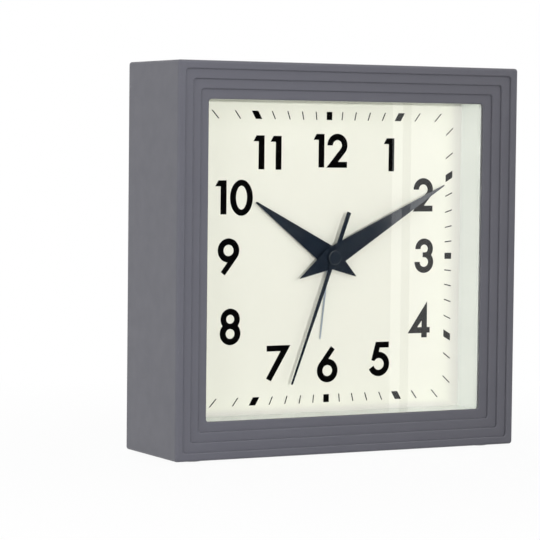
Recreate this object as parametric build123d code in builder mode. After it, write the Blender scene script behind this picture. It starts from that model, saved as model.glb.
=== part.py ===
from build123d import *
import math
import os

# Square alarm mantel clock, in millimetres.
# +Z is up and the dial faces -Y. The origin is under the middle of the case,
# on the surface that the felt pads stand on. Depths are counted from the front
# face of the case towards its back.

os.makedirs("parts", exist_ok=True)

# Case
case_width = 180.0
case_depth = 52.5
board_thickness = 9.0
long_edge_radius = 1.4
fit_clearance = 0.3
running_clearance = 0.05

# Front frame: a border, then steps down to the lip that holds the glass
frame_thickness = 9.0
border_width = 3.9
step_count = 3
step_width = 4.42
step_drop = 1.25
lip_thickness = 1.0
step_corner_radius = 1.4
step_edge_radius = 0.7
front_edge_radius = 1.3
rebate_width = 4.65

# Glass, liner and dial
glass_thickness = 1.5
liner_depth = 17.0
liner_setback = 0.2
sheet_thickness = 0.3
plate_thickness = 2.5

# Corner blocks, back panel, screws and pads
block_width = 14.0
block_chamfer = 4.0
panel_thickness = 3.0
panel_recess = 2.0
window_margin = 3.0
window_corner_radius = 3.0
screw_radius = 1.4
screw_length_share = 0.6
screw_head_radius = 3.0
screw_head_height = 1.6
screw_head_edge_radius = 1.0
screw_recess_length = 3.2
screw_recess_width = 0.9
screw_recess_depth = 0.9
pad_radius = 6.0
pad_thickness = 1.0
pad_inset = 13.0

# Movement housing. Its gear chamber is above the partition, its battery bay below
chamber_floor_drop = 11.2
chamber_headroom = 1.15
partition_thickness = 1.2
housing_wall = 1.5
housing_edge_radius = 1.2
housing_rim_radius = 0.6
front_housing_depth = 8.0
bush_radius = 3.9
bush_stand = 0.3
pivot_depth = 0.8
ear_length = 7.0
ear_height = 9.0
ear_thickness = 1.8
ear_corner_radius = 2.0
ear_screw_radius = 0.9
ear_screw_bite = 2.0
ear_screw_head_radius = 1.9
ear_screw_head_height = 1.2
ear_recess_length = 2.2
ear_recess_width = 0.6
ear_recess_depth = 0.6

# Battery and its contacts
battery_radius = 7.15
battery_length = 49.2
battery_edge_radius = 0.8
terminal_radius = 2.7
terminal_height = 1.3
battery_play = 0.3
contact_room = 2.25
contact_thickness = 0.4
contact_width = 9.0
contact_height = 11.0

# Hands: clock angle in degrees, and height above the dial
second_angle = 200.3
minute_angle = 60.9
hour_angle = 303.2
alarm_angle = 186.4
alarm_hand_height = 0.8
hour_hand_height = 2.0
minute_hand_height = 4.4
second_hand_height = 5.8
hand_thickness = 0.4
needle_thickness = 0.3
hub_radius = 5.2
minute_hand_length = 69.8
minute_tail_length = 19.9
minute_tip_radius = 0.3
hour_hand_length = 47.3
hour_tail_length = 16.8
hour_tip_radius = 0.45
tail_tip_radius = 0.12
second_hand_length = 63.0
second_tail_length = 22.6
second_tail_width = 2.1
second_root_radius = 1.05
second_tip_radius = 0.5
second_hub_radius = 3.3
second_hub_drop = 0.2
second_hub_height = 1.7
second_hub_edge_radius = 0.4
second_arbor_bite = 1.2
alarm_hand_length = 38.7
alarm_hand_root_radius = 0.5
alarm_hand_tip_radius = 0.3
alarm_hub_radius = 4.0
pipe_stand = 0.3

# Nested pipes on the hand axis, from the inside out
second_arbor_radius = 0.5
minute_pipe_radius = 1.25
hour_pipe_radius = 2.05
alarm_pipe_radius = 2.85

# Teeth. Heights are shares of the module, widths are shares of the tooth pitch
wheel_tip_share = 0.85
wheel_root_share = 1.1
wheel_tip_width_share = 0.18
wheel_root_width_share = 0.58
leaf_tip_share = 0.75
leaf_root_share = 1.2
leaf_tip_width_share = 0.16
leaf_root_width_share = 0.5
rotor_leaves = 8
intermediate_teeth = 48
intermediate_leaves = 8
second_teeth = 40
second_leaves = 8
third_teeth = 60
third_leaves = 8
centre_teeth = 64
cannon_leaves = 12
motion_teeth = 36
motion_leaves = 10
hour_teeth = 40
alarm_teeth = 36
alarm_leaves = 12

# Distances between arbors, and their clock angles round the arbor they mesh with
rotor_distance = 8.4
third_distance = 9.52
arbor_gap = 0.45
knob_arbor_gap = 1.0
rotor_bearing = 300.0
intermediate_bearing = 325.0
third_bearing = 30.0
motion_bearing = 270.0
alarm_bearing = 90.0

# Wheels, arbors and washers inside the housing
rim_thickness = 1.0
leaf_overhang = 0.1
wheel_gap = 1.0
thin_wheel_gap = 0.5
bridge_gap = 0.3
end_play = 0.1
thin_arbor_radius = 0.4
rotor_arbor_radius = 0.3
knob_arbor_radius = 0.9
centre_hub_radius = 2.2
magnet_radius = 2.1
magnet_length = 2.3
magnet_stand = 0.6
washer_thickness = 0.5
hour_washer_radius = 3.6
setting_washer_radius = 2.5

# Train bridge, stator and coil
bridge_margin = 2.2
bridge_rise = 5.9
bridge_thickness = 0.6
bridge_post_radius = 1.0
bridge_post_inset = 1.2
stator_thickness = 1.0
stator_width = 20.6
stator_height = 13.6
stator_arm = 4.2
stator_core = 4.5
stator_foot = 5.1
stator_shift = (-2.6, 5.1)
stator_margin = 2.5
stator_eye_radius = 4.0
stator_air_gap = 0.5
stator_stand = 1.4
stator_post_radius = 1.2
coil_length = 11.2
coil_height = 7.6
coil_depth = 4.4
coil_corner_radius = 1.5

# Circuit, buzzer, knobs and switch
board_width = 17.0
board_height = 13.5
board_margin = 0.8
board_sheet = 1.0
board_stand = 6.7
board_post_radius = 1.3
board_post_inset = 2.6
chip_radius = 2.4
chip_height = 1.2
chip_crown_share = 0.6
chip_shift = (-3.9, -2.8)
crystal_radius = 1.0
crystal_length = 6.0
crystal_shift = (2.0, 3.8)
buzzer_radius = 5.2
buzzer_height = 5.0
buzzer_port_radius = 1.0
buzzer_margin = 1.6
knob_radius = 5.6
knob_height = 2.7
knob_ridges = 24
knob_crown_radius = 4.6
knob_crown_height = 0.7
knob_edge_radius = 0.4
knob_bite = 2.0
washer_play = 0.15
switch_rest = 1.0
switch_margin = 0.6
switch_travel = 4.0
switch_width = 6.0
switch_height = 3.0
switch_thickness = 2.2
switch_stem_width = 2.6
switch_stem_height = 1.8
switch_stem_stand = 2.2
rail_thickness = 0.8

# Derived sizes of the case
axis_height = pad_thickness + case_width / 2
opening_width = case_width - 2 * (border_width + step_count * step_width)
rebate_side = opening_width + 2 * rebate_width
cavity_width = case_width - 2 * board_thickness
insert_width = rebate_side - 2 * fit_clearance
plate_width = cavity_width - 2 * fit_clearance
dial_hole_radius = bush_radius + fit_clearance
glass_front = step_count * step_drop + lip_thickness
glass_back = glass_front + glass_thickness
dial_front = glass_back + liner_depth
plate_front = dial_front + sheet_thickness
plate_back = plate_front + plate_thickness
panel_back = case_depth - panel_recess
panel_front = panel_back - panel_thickness
block_spacing = cavity_width - block_width
screw_length = (panel_front - plate_back) * screw_length_share
pad_spacing = (case_width - 2 * pad_inset, case_depth - 2 * pad_inset)

# Depths inside the movement, from the dial side to the back
housing_front = plate_back
chamber_front = housing_front + housing_wall
split_depth = housing_front + front_housing_depth
alarm_rim = chamber_front + thin_wheel_gap
hour_rim = alarm_rim + rim_thickness + wheel_gap
cannon_rim = hour_rim + rim_thickness + wheel_gap
centre_rim = cannon_rim + rim_thickness + wheel_gap
pipe_back = centre_rim + rim_thickness + end_play
bridge_front = centre_rim + rim_thickness + bridge_gap
bridge_back = bridge_front + bridge_thickness
third_rim = bridge_back + end_play
second_rim = third_rim + rim_thickness + thin_wheel_gap
rotor_rim = second_rim + rim_thickness + thin_wheel_gap
chamber_back = rotor_rim + rim_thickness + thin_wheel_gap
housing_back = chamber_back + housing_wall
pivot_front = chamber_front - pivot_depth
pivot_back = chamber_back + pivot_depth
arbor_front = bridge_front + end_play
stator_front = bridge_back + stator_stand
knob_front = housing_back + washer_thickness + 2 * washer_play
knob_back = knob_front + knob_height
knob_arbor_back = knob_front + knob_bite
bush_front = dial_front - bush_stand


def place(distance, bearing, around=(0, 0)):
    """Point at a distance and clock angle from another point, seen from the front."""
    turn = math.radians(bearing)
    return (around[0] + distance * math.sin(turn), around[1] + distance * math.cos(turn))


def module_of(distance, teeth, leaves):
    """Module that makes a wheel and a pinion mesh at a distance."""
    return 2 * distance / (teeth + leaves)


def tip_radius_of(teeth, module):
    """Outer radius of a wheel."""
    return module * (teeth / 2 + wheel_tip_share)


# Modules and distances of the train: each arbor clears the wheels that it passes
rotor_module = module_of(rotor_distance, intermediate_teeth, rotor_leaves)
intermediate_tip = tip_radius_of(intermediate_teeth, rotor_module)
intermediate_distance = intermediate_tip + second_arbor_radius + arbor_gap
intermediate_module = module_of(intermediate_distance, second_teeth, intermediate_leaves)
second_module = module_of(third_distance, third_teeth, second_leaves)
third_module = module_of(third_distance, centre_teeth, third_leaves)
centre_tip = tip_radius_of(centre_teeth, third_module)
motion_distance = centre_tip + knob_arbor_radius + knob_arbor_gap
cannon_module = module_of(motion_distance, motion_teeth, cannon_leaves)
hour_module = module_of(motion_distance, hour_teeth, motion_leaves)
hour_tip = tip_radius_of(hour_teeth, hour_module)
alarm_distance = hour_tip + knob_arbor_radius + knob_arbor_gap
alarm_module = module_of(alarm_distance, alarm_teeth, alarm_leaves)

# Places on the dial plane, from the hand axis: across to the right, and up
hand_axis = (0, 0)
intermediate_at = place(intermediate_distance, intermediate_bearing)
rotor_at = place(rotor_distance, rotor_bearing, intermediate_at)
third_at = place(third_distance, third_bearing)
motion_at = place(motion_distance, motion_bearing)
alarm_at = place(alarm_distance, alarm_bearing)
stator_at = (rotor_at[0] + stator_shift[0], rotor_at[1] + stator_shift[1])
stator_base = stator_at[1] - stator_height / 2
stator_left = stator_at[0] - stator_width / 2
core_middle = stator_base + stator_height - stator_core / 2

# Bridge: from the stator's end to past the third arbor, and from the chamber's floor to above the rotor
bridge_right = third_at[0] + bridge_margin
bridge_top = rotor_at[1] + bridge_rise
bridge_bottom = end_play - chamber_floor_drop
bridge_width = bridge_right - stator_left
bridge_height = bridge_top - bridge_bottom
bridge_at = ((bridge_right + stator_left) / 2, (bridge_top + bridge_bottom) / 2)

# Housing outline: as wide as the stator or the battery with its contacts, as high as the coil needs
chamber_width = 2 * (stator_margin - stator_left)
bay_width = battery_length + terminal_height + 2 * contact_room
chamber_top = core_middle + coil_height / 2 + chamber_headroom
chamber_height = chamber_top + chamber_floor_drop
chamber_middle = (chamber_top - chamber_floor_drop) / 2
bay_height = 2 * (battery_radius + battery_play)
bay_top = -chamber_floor_drop - partition_thickness
bay_bottom = bay_top - bay_height
bay_middle = (bay_top + bay_bottom) / 2
movement_width = max(chamber_width, bay_width) + 2 * housing_wall
movement_height = chamber_top - bay_bottom + 2 * housing_wall
housing_middle = (chamber_top + bay_bottom) / 2
ear_screw_spacing = movement_width + ear_length
battery_depth = chamber_front + battery_radius + battery_play
board_at = (
    chamber_width / 2 - board_margin - board_width / 2,
    chamber_top - board_margin - board_height / 2,
)
chip_at = (board_at[0] + chip_shift[0], board_at[1] + chip_shift[1])
crystal_at = (board_at[0] + crystal_shift[0], board_at[1] + crystal_shift[1])
buzzer_at = (chamber_width / 2 - buzzer_margin - buzzer_radius, 0)
rail_gap = switch_height + 2 * running_clearance
switch_at = (switch_rest, chamber_top - switch_margin - rail_thickness - rail_gap / 2)
slot_at = (switch_rest + switch_travel / 2, switch_at[1])


def seen_from_front(depth, bearing=0):
    """Plane facing the viewer, centred on the hand axis, turned to a clock angle."""
    turn = math.radians(bearing)
    return Plane(
        origin=(0, depth - case_depth / 2, axis_height),
        x_dir=(math.cos(turn), 0, -math.sin(turn)),
        z_dir=(0, -1, 0),
    )


def disc(depth, centre, radius):
    """Round sketch at a depth, to be extruded towards the back."""
    with BuildSketch(seen_from_front(depth)) as sketch:
        with Locations(centre):
            Circle(radius)
    return sketch.sketch


def toothed(depth, centre, teeth, module, phase, shares):
    """Toothed sketch: straight-flanked teeth, the first one at the clock angle phase."""
    tip_share, root_share, tip_width_share, root_width_share = shares
    pitch = 360 / teeth
    tip = module * (teeth / 2 + tip_share)
    root = module * (teeth / 2 - root_share)
    corners = (
        (root, -root_width_share),
        (tip, -tip_width_share),
        (tip, tip_width_share),
        (root, root_width_share),
    )
    outline = [
        place(radius, phase + pitch * (tooth + side / 2), centre)
        for tooth in range(teeth)
        for radius, side in corners
    ]
    with BuildSketch(seen_from_front(depth)) as sketch:
        with BuildLine():
            Polyline(*outline, close=True)
        make_face()
    return sketch.sketch


def wheel_rim(depth, centre, teeth, module, phase=0.0):
    """Sketch of a wheel with full teeth."""
    shares = (wheel_tip_share, wheel_root_share, wheel_tip_width_share, wheel_root_width_share)
    return toothed(depth, centre, teeth, module, phase, shares)


def pinion_rim(depth, centre, leaves, module, phase):
    """Sketch of a pinion, whose leaves are slimmer than the wheel's teeth."""
    shares = (leaf_tip_share, leaf_root_share, leaf_tip_width_share, leaf_root_width_share)
    return toothed(depth, centre, leaves, module, phase, shares)


def leaf_phase(leaves, teeth, bearing):
    """Clock angle of a pinion's first leaf when a wheel with phase 0 stands at bearing from it."""
    towards_pinion = bearing + 180
    tooth_position = towards_pinion * teeth / 360
    return bearing - (0.5 - tooth_position) * 360 / leaves


def save(builder, label):
    """Label a finished piece and write it to its file."""
    builder.part.label = label
    export_step(builder.part, f"parts/{label}.step")


# Front frame: square steps sunk one inside the other, then the opening and the glass rebate
with BuildPart() as front_frame:
    with BuildSketch(seen_from_front(0)):
        RectangleRounded(case_width, case_width, long_edge_radius)
    extrude(amount=-frame_thickness)
    for step in range(step_count):
        side = case_width - 2 * (border_width + step * step_width)
        with BuildSketch(seen_from_front(step * step_drop)):
            RectangleRounded(side, side, step_corner_radius)
        extrude(amount=-step_drop, mode=Mode.SUBTRACT)
    with BuildSketch(seen_from_front(0)):
        RectangleRounded(opening_width, opening_width, step_corner_radius)
    extrude(amount=-frame_thickness, mode=Mode.SUBTRACT)
    with BuildSketch(seen_from_front(glass_front)):
        Rectangle(rebate_side, rebate_side)
    extrude(amount=-(frame_thickness - glass_front), mode=Mode.SUBTRACT)
    bands = front_frame.faces().filter_by(Axis.Y).group_by(Axis.Y)[: step_count + 1]
    step_edges = [edge for band in bands for edge in band[0].inner_wires()[0].edges()]
    fillet(step_edges, step_edge_radius)
    rim_face = front_frame.faces().filter_by(Axis.Y).sort_by(Axis.Y)[0]
    fillet(rim_face.outer_wire().edges(), front_edge_radius)
save(front_frame, "front_frame")

# Side boards run the full height, the top and base boards stand between them
board_run = case_depth - frame_thickness
for label, hand in (("left_side", -1), ("right_side", 1)):
    with BuildPart() as side_board:
        with BuildSketch(seen_from_front(frame_thickness)):
            with Locations((hand * (case_width - board_thickness) / 2, 0)):
                Rectangle(board_thickness, case_width)
        extrude(amount=-board_run)
        outer_face = side_board.faces().sort_by(Axis.X)[0 if hand < 0 else -1]
        fillet(outer_face.edges().filter_by(Axis.Y), long_edge_radius)
    save(side_board, label)

for label, hand in (("base_board", -1), ("top_board", 1)):
    with BuildPart() as level_board:
        with BuildSketch(seen_from_front(frame_thickness)):
            with Locations((0, hand * (case_width - board_thickness) / 2)):
                Rectangle(cavity_width, board_thickness)
        extrude(amount=-board_run)
    save(level_board, label)

# Felt pads under the base board
with BuildPart() as felt_pads:
    with BuildSketch(Plane.XY):
        with GridLocations(*pad_spacing, 2, 2):
            Circle(pad_radius)
    extrude(amount=pad_thickness)
save(felt_pads, "felt_pads")

# Glass in the rebate
with BuildPart() as glass:
    with BuildSketch(seen_from_front(glass_front)):
        Rectangle(insert_width, insert_width)
    extrude(amount=-glass_thickness)
save(glass, "glass")

# White liner between the glass and the dial
with BuildPart() as dial_liner:
    with BuildSketch(seen_from_front(glass_back)):
        Rectangle(insert_width, insert_width)
        liner_opening = opening_width + 2 * liner_setback
        Rectangle(liner_opening, liner_opening, mode=Mode.SUBTRACT)
    extrude(amount=-liner_depth)
save(dial_liner, "dial_liner")

# Dial sheet and the plate that it is glued to
with BuildPart() as dial_sheet:
    with BuildSketch(seen_from_front(dial_front)):
        Rectangle(insert_width, insert_width)
        Circle(dial_hole_radius, mode=Mode.SUBTRACT)
    extrude(amount=-sheet_thickness)
save(dial_sheet, "dial_sheet")

with BuildPart() as dial_plate:
    with BuildSketch(seen_from_front(plate_front)):
        Rectangle(plate_width, plate_width)
        Circle(dial_hole_radius, mode=Mode.SUBTRACT)
    extrude(amount=-plate_thickness)
    with BuildSketch(seen_from_front(plate_back)):
        with GridLocations(ear_screw_spacing, 0, 2, 1):
            Circle(ear_screw_radius + running_clearance)
    extrude(amount=ear_screw_bite, mode=Mode.SUBTRACT)
save(dial_plate, "dial_plate")

# Corner blocks, with pilot holes for the back screws and their inner edge cut away
with BuildPart() as corner_blocks:
    with BuildSketch(seen_from_front(plate_back)) as block_sketch:
        with GridLocations(block_spacing, block_spacing, 2, 2):
            Rectangle(block_width, block_width)
        inner_corners = block_sketch.vertices().sort_by_distance((0, 0))[:4]
        chamfer(inner_corners, block_chamfer)
    extrude(amount=-(panel_front - plate_back))
    with BuildSketch(seen_from_front(panel_front)):
        with GridLocations(block_spacing, block_spacing, 2, 2):
            Circle(screw_radius + running_clearance)
    extrude(amount=screw_length, mode=Mode.SUBTRACT)
save(corner_blocks, "corner_blocks")

# Back panel with the movement window
with BuildPart() as back_panel:
    with BuildSketch(seen_from_front(panel_front)):
        Rectangle(plate_width, plate_width)
        with Locations((0, housing_middle)):
            RectangleRounded(
                movement_width + 2 * window_margin,
                movement_height + 2 * window_margin,
                window_corner_radius,
                mode=Mode.SUBTRACT,
            )
        with GridLocations(block_spacing, block_spacing, 2, 2):
            Circle(screw_radius + fit_clearance, mode=Mode.SUBTRACT)
    extrude(amount=-panel_thickness)
save(back_panel, "back_panel")

with BuildPart() as back_screws:
    with BuildSketch(seen_from_front(panel_back)):
        with GridLocations(block_spacing, block_spacing, 2, 2):
            Circle(screw_head_radius)
    extrude(amount=-screw_head_height)
    head_rims = back_screws.edges().filter_by(GeomType.CIRCLE).group_by(Axis.Y)[-1]
    fillet(head_rims, screw_head_edge_radius)
    with BuildSketch(seen_from_front(panel_back)):
        with GridLocations(block_spacing, block_spacing, 2, 2):
            Circle(screw_radius)
    extrude(amount=panel_thickness + screw_length - fit_clearance)
    with BuildSketch(seen_from_front(panel_back + screw_head_height)):
        with GridLocations(block_spacing, block_spacing, 2, 2):
            Rectangle(screw_recess_length, screw_recess_width)
            Rectangle(screw_recess_width, screw_recess_length)
    extrude(amount=screw_recess_depth, mode=Mode.SUBTRACT)
save(back_screws, "back_screws")

# Front half of the movement housing: tray, bush, ears, bearings and posts
with BuildPart() as housing_front_half:
    with BuildSketch(seen_from_front(housing_front)):
        with Locations((0, housing_middle)):
            RectangleRounded(movement_width, movement_height, housing_edge_radius)
    extrude(amount=-front_housing_depth)
    with BuildSketch(seen_from_front(chamber_front)):
        with Locations((0, chamber_middle)):
            Rectangle(chamber_width, chamber_height)
        with Locations((0, bay_middle)):
            Rectangle(bay_width, bay_height)
    extrude(amount=-(front_housing_depth - housing_wall), mode=Mode.SUBTRACT)
    with BuildSketch(seen_from_front(housing_front)):
        with GridLocations(movement_width + ear_length, 0, 2, 1):
            Rectangle(ear_length, ear_height)
        with GridLocations(ear_screw_spacing, 0, 2, 1):
            Circle(ear_screw_radius + running_clearance, mode=Mode.SUBTRACT)
    extrude(amount=-ear_thickness)
    ear_edges = housing_front_half.edges().filter_by(Axis.Y)
    fillet(ear_edges.group_by(Axis.X)[0] + ear_edges.group_by(Axis.X)[-1], ear_corner_radius)
    extrude(disc(housing_front, hand_axis, bush_radius), amount=housing_front - bush_front)
    extrude(
        disc(bush_front, hand_axis, alarm_pipe_radius + running_clearance),
        amount=-(chamber_front - bush_front),
        mode=Mode.SUBTRACT,
    )
    for centre, radius in (
        (third_at, thin_arbor_radius),
        (motion_at, knob_arbor_radius),
        (alarm_at, knob_arbor_radius),
    ):
        bearing = disc(chamber_front, centre, radius + running_clearance)
        extrude(bearing, amount=pivot_depth + running_clearance, mode=Mode.SUBTRACT)
    with BuildSketch(seen_from_front(chamber_front)):
        with Locations(bridge_at):
            with GridLocations(
                bridge_width - 2 * bridge_post_inset, bridge_height - 2 * bridge_post_inset, 2, 2
            ):
                Circle(bridge_post_radius)
    extrude(amount=-(bridge_front - chamber_front))
    with BuildSketch(seen_from_front(chamber_front)):
        with Locations(board_at):
            with GridLocations(board_width - 2 * board_post_inset, 0, 2, 1):
                Circle(board_post_radius)
    extrude(amount=-board_stand)
save(housing_front_half, "movement_front_housing")

# Rear half of the housing: tray, open battery bay, bearings, switch slot and its rails
with BuildPart() as housing_rear_half:
    with BuildSketch(seen_from_front(split_depth)):
        with Locations((0, housing_middle)):
            RectangleRounded(movement_width, movement_height, housing_edge_radius)
    extrude(amount=-(housing_back - split_depth))
    with BuildSketch(seen_from_front(split_depth)):
        with Locations((0, chamber_middle)):
            Rectangle(chamber_width, chamber_height)
    extrude(amount=-(chamber_back - split_depth), mode=Mode.SUBTRACT)
    with BuildSketch(seen_from_front(split_depth)):
        with Locations((0, bay_middle)):
            Rectangle(bay_width, bay_height)
    extrude(amount=-(housing_back - split_depth), mode=Mode.SUBTRACT)
    for centre, radius in (
        (hand_axis, second_arbor_radius),
        (third_at, thin_arbor_radius),
        (intermediate_at, thin_arbor_radius),
        (rotor_at, rotor_arbor_radius),
    ):
        bearing = disc(chamber_back, centre, radius + running_clearance)
        extrude(bearing, amount=-(pivot_depth + running_clearance), mode=Mode.SUBTRACT)
    for centre in (motion_at, alarm_at):
        bearing = disc(chamber_back, centre, knob_arbor_radius + running_clearance)
        extrude(bearing, amount=-housing_wall, mode=Mode.SUBTRACT)
    with BuildSketch(seen_from_front(chamber_back)):
        with Locations(slot_at):
            Rectangle(
                switch_stem_width + switch_travel + 2 * fit_clearance,
                switch_stem_height + 2 * fit_clearance,
            )
    extrude(amount=-housing_wall, mode=Mode.SUBTRACT)
    with BuildSketch(seen_from_front(chamber_back)):
        with Locations(slot_at):
            with GridLocations(0, rail_gap + rail_thickness, 1, 2):
                Rectangle(switch_width + switch_travel, rail_thickness)
    extrude(amount=switch_thickness)
    rear_face = housing_rear_half.faces().filter_by(Axis.Y).sort_by(Axis.Y)[-1]
    fillet(rear_face.outer_wire().edges(), housing_rim_radius)
save(housing_rear_half, "movement_rear_housing")

with BuildPart() as movement_screws:
    with BuildSketch(seen_from_front(housing_front + ear_thickness)):
        with GridLocations(ear_screw_spacing, 0, 2, 1):
            Circle(ear_screw_head_radius)
    extrude(amount=-ear_screw_head_height)
    with BuildSketch(seen_from_front(housing_front + ear_thickness)):
        with GridLocations(ear_screw_spacing, 0, 2, 1):
            Circle(ear_screw_radius)
    extrude(amount=ear_thickness + ear_screw_bite - running_clearance)
    with BuildSketch(seen_from_front(housing_front + ear_thickness + ear_screw_head_height)):
        with GridLocations(ear_screw_spacing, 0, 2, 1):
            Rectangle(ear_recess_length, ear_recess_width)
            Rectangle(ear_recess_width, ear_recess_length)
    extrude(amount=ear_recess_depth, mode=Mode.SUBTRACT)
save(movement_screws, "movement_screws")

# Train bridge, with bearings for the arbors that pass it and posts for the stator
stator_arm_spacing = stator_width - stator_arm
stator_post_at = (stator_at[0], stator_base + stator_post_radius)
with BuildPart() as train_bridge:
    with BuildSketch(seen_from_front(bridge_front)):
        with Locations(bridge_at):
            Rectangle(bridge_width, bridge_height)
        for centre, radius in (
            (hand_axis, second_arbor_radius),
            (third_at, thin_arbor_radius),
            (intermediate_at, thin_arbor_radius),
            (rotor_at, rotor_arbor_radius),
            (motion_at, knob_arbor_radius),
        ):
            with Locations(centre):
                Circle(radius + running_clearance, mode=Mode.SUBTRACT)
    extrude(amount=-bridge_thickness)
    with BuildSketch(seen_from_front(bridge_back)):
        with Locations(stator_post_at):
            with GridLocations(stator_arm_spacing, 0, 2, 1):
                Circle(stator_post_radius)
    extrude(amount=-stator_stand)
save(train_bridge, "train_bridge")

# Stator: a closed loop with an eye for the rotor and a core bar for the coil
with BuildPart() as stator:
    with BuildSketch(seen_from_front(stator_front)):
        with Locations(stator_at):
            Rectangle(stator_width, stator_height)
        with Locations(rotor_at):
            Circle(stator_eye_radius)
        loop_bottom = stator_base + stator_foot
        loop_top = stator_base + stator_height - stator_core
        with Locations((stator_at[0], (loop_bottom + loop_top) / 2)):
            Rectangle(stator_width - 2 * stator_arm, loop_top - loop_bottom, mode=Mode.SUBTRACT)
        with Locations(rotor_at):
            Circle(magnet_radius + stator_air_gap, mode=Mode.SUBTRACT)
    extrude(amount=-stator_thickness)
save(stator, "stator")

with BuildPart() as coil:
    core_depth = stator_front + stator_thickness / 2
    coil_plane = Plane(
        origin=(
            stator_at[0] - coil_length / 2,
            core_depth - case_depth / 2,
            axis_height + core_middle,
        ),
        x_dir=(0, 1, 0),
        z_dir=(1, 0, 0),
    )
    with BuildSketch(coil_plane):
        RectangleRounded(coil_depth, coil_height, coil_corner_radius)
        Rectangle(
            stator_thickness + 2 * running_clearance,
            stator_core + 2 * running_clearance,
            mode=Mode.SUBTRACT,
        )
    extrude(amount=coil_length)
save(coil, "coil")

# Going train: rotor, intermediate wheel, seconds wheel, third wheel, centre wheel
leaf_width = rim_thickness + 2 * leaf_overhang

with BuildPart() as rotor:
    magnet_front = bridge_back + magnet_stand
    extrude(disc(arbor_front, rotor_at, rotor_arbor_radius), amount=arbor_front - pivot_back)
    extrude(disc(magnet_front, rotor_at, magnet_radius), amount=-magnet_length)
    phase = leaf_phase(rotor_leaves, intermediate_teeth, rotor_bearing + 180)
    leaves = pinion_rim(rotor_rim - leaf_overhang, rotor_at, rotor_leaves, rotor_module, phase)
    extrude(leaves, amount=-leaf_width)
save(rotor, "rotor")

with BuildPart() as intermediate_wheel:
    extrude(
        disc(arbor_front, intermediate_at, thin_arbor_radius), amount=arbor_front - pivot_back
    )
    extrude(
        wheel_rim(rotor_rim, intermediate_at, intermediate_teeth, rotor_module),
        amount=-rim_thickness,
    )
    phase = leaf_phase(intermediate_leaves, second_teeth, intermediate_bearing + 180)
    leaves = pinion_rim(
        second_rim - leaf_overhang,
        intermediate_at,
        intermediate_leaves,
        intermediate_module,
        phase,
    )
    extrude(leaves, amount=-(rotor_rim - second_rim + leaf_overhang))
save(intermediate_wheel, "intermediate_wheel")

second_arbor_front = dial_front - second_hand_height - second_arbor_bite
with BuildPart() as second_wheel:
    extrude(
        disc(second_arbor_front, hand_axis, second_arbor_radius),
        amount=second_arbor_front - pivot_back,
    )
    extrude(
        wheel_rim(second_rim, hand_axis, second_teeth, intermediate_module), amount=-rim_thickness
    )
    phase = leaf_phase(second_leaves, third_teeth, third_bearing)
    leaves = pinion_rim(
        third_rim - leaf_overhang / 2, hand_axis, second_leaves, second_module, phase
    )
    extrude(leaves, amount=-(second_rim - third_rim + leaf_overhang / 2))
save(second_wheel, "second_wheel")

with BuildPart() as third_wheel:
    extrude(disc(pivot_front, third_at, thin_arbor_radius), amount=pivot_front - pivot_back)
    extrude(wheel_rim(third_rim, third_at, third_teeth, second_module), amount=-rim_thickness)
    phase = leaf_phase(third_leaves, centre_teeth, third_bearing + 180)
    leaves = pinion_rim(
        centre_rim - leaf_overhang, third_at, third_leaves, third_module, phase
    )
    extrude(leaves, amount=-leaf_width)
save(third_wheel, "third_wheel")

with BuildPart() as centre_wheel:
    extrude(wheel_rim(centre_rim, hand_axis, centre_teeth, third_module), amount=-rim_thickness)
    extrude(disc(centre_rim, hand_axis, centre_hub_radius), amount=thin_wheel_gap)
    extrude(
        disc(centre_rim - thin_wheel_gap, hand_axis, minute_pipe_radius + running_clearance),
        amount=-(thin_wheel_gap + rim_thickness),
        mode=Mode.SUBTRACT,
    )
save(centre_wheel, "centre_wheel")

# Motion work: minute pipe with its cannon pinion, motion wheel, hour wheel
minute_pipe_front = dial_front - minute_hand_height - hand_thickness - pipe_stand
hour_pipe_front = dial_front - hour_hand_height - hand_thickness - pipe_stand
alarm_pipe_front = dial_front - alarm_hand_height - needle_thickness - pipe_stand

with BuildPart() as minute_pipe:
    extrude(
        disc(minute_pipe_front, hand_axis, minute_pipe_radius), amount=minute_pipe_front - pipe_back
    )
    phase = leaf_phase(cannon_leaves, motion_teeth, motion_bearing)
    leaves = pinion_rim(cannon_rim - leaf_overhang, hand_axis, cannon_leaves, cannon_module, phase)
    extrude(leaves, amount=-leaf_width)
    extrude(
        disc(minute_pipe_front, hand_axis, second_arbor_radius + running_clearance),
        amount=minute_pipe_front - pipe_back,
        mode=Mode.SUBTRACT,
    )
save(minute_pipe, "minute_pipe")

with BuildPart() as motion_wheel:
    extrude(
        disc(pivot_front, motion_at, knob_arbor_radius), amount=pivot_front - knob_arbor_back
    )
    extrude(wheel_rim(cannon_rim, motion_at, motion_teeth, cannon_module), amount=-rim_thickness)
    phase = leaf_phase(motion_leaves, hour_teeth, motion_bearing + 180)
    leaves = pinion_rim(hour_rim - leaf_overhang, motion_at, motion_leaves, hour_module, phase)
    extrude(leaves, amount=-(cannon_rim - hour_rim + leaf_overhang))
save(motion_wheel, "motion_wheel")

with BuildPart() as hour_wheel:
    hour_back = hour_rim + rim_thickness
    extrude(disc(hour_pipe_front, hand_axis, hour_pipe_radius), amount=hour_pipe_front - hour_back)
    extrude(wheel_rim(hour_rim, hand_axis, hour_teeth, hour_module), amount=-rim_thickness)
    extrude(
        disc(hour_pipe_front, hand_axis, minute_pipe_radius + running_clearance),
        amount=hour_pipe_front - hour_back,
        mode=Mode.SUBTRACT,
    )
save(hour_wheel, "hour_wheel")

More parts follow.
